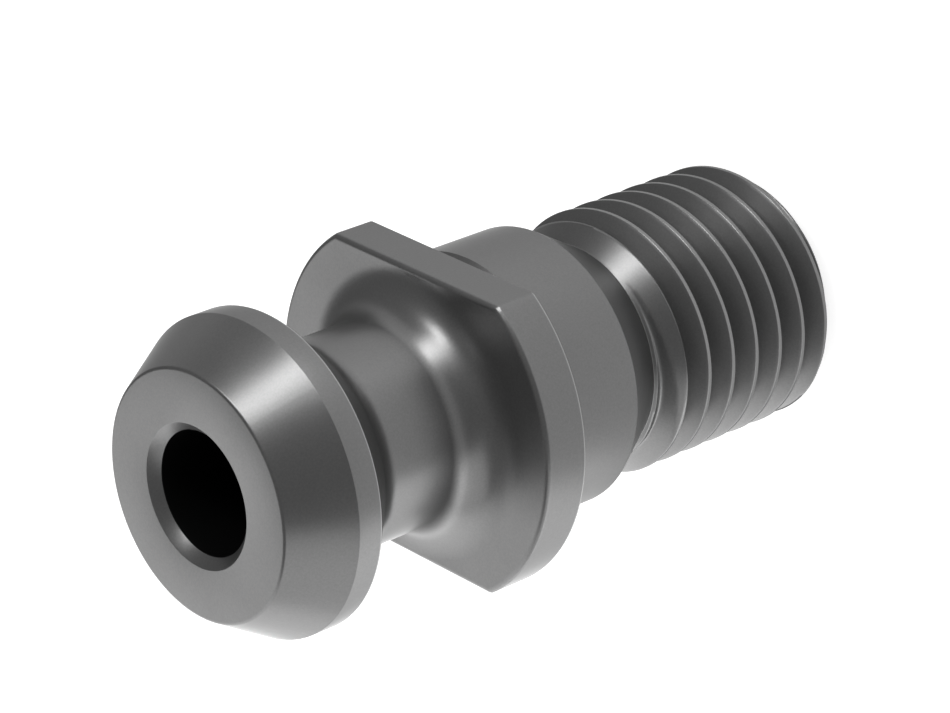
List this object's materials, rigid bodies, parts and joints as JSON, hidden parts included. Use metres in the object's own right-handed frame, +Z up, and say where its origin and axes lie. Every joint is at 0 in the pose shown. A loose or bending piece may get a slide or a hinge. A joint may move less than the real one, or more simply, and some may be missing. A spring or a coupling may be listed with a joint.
{
  "type": "pull stud",
  "caption": "Turned steel pull stud for a taper tool holder, with a coned head, a gripping neck, a wrench-flatted collar, a pilot and a coarse metric thread, bored through for coolant",
  "frame": {"origin": "middle of the thread's end face, on the axis, where the stud stands", "axes": "+Z runs up the axis from the thread's end to the head's face; the two wrench flats face +X and -X"},
  "size_m": [0.019, 0.0224, 0.044],
  "materials": {
    "blackened_steel": "satin black oxide"
  },
  "bodies": {
    "root": {"pull_stud": "blackened_steel"}
  },
  "joints": []
}
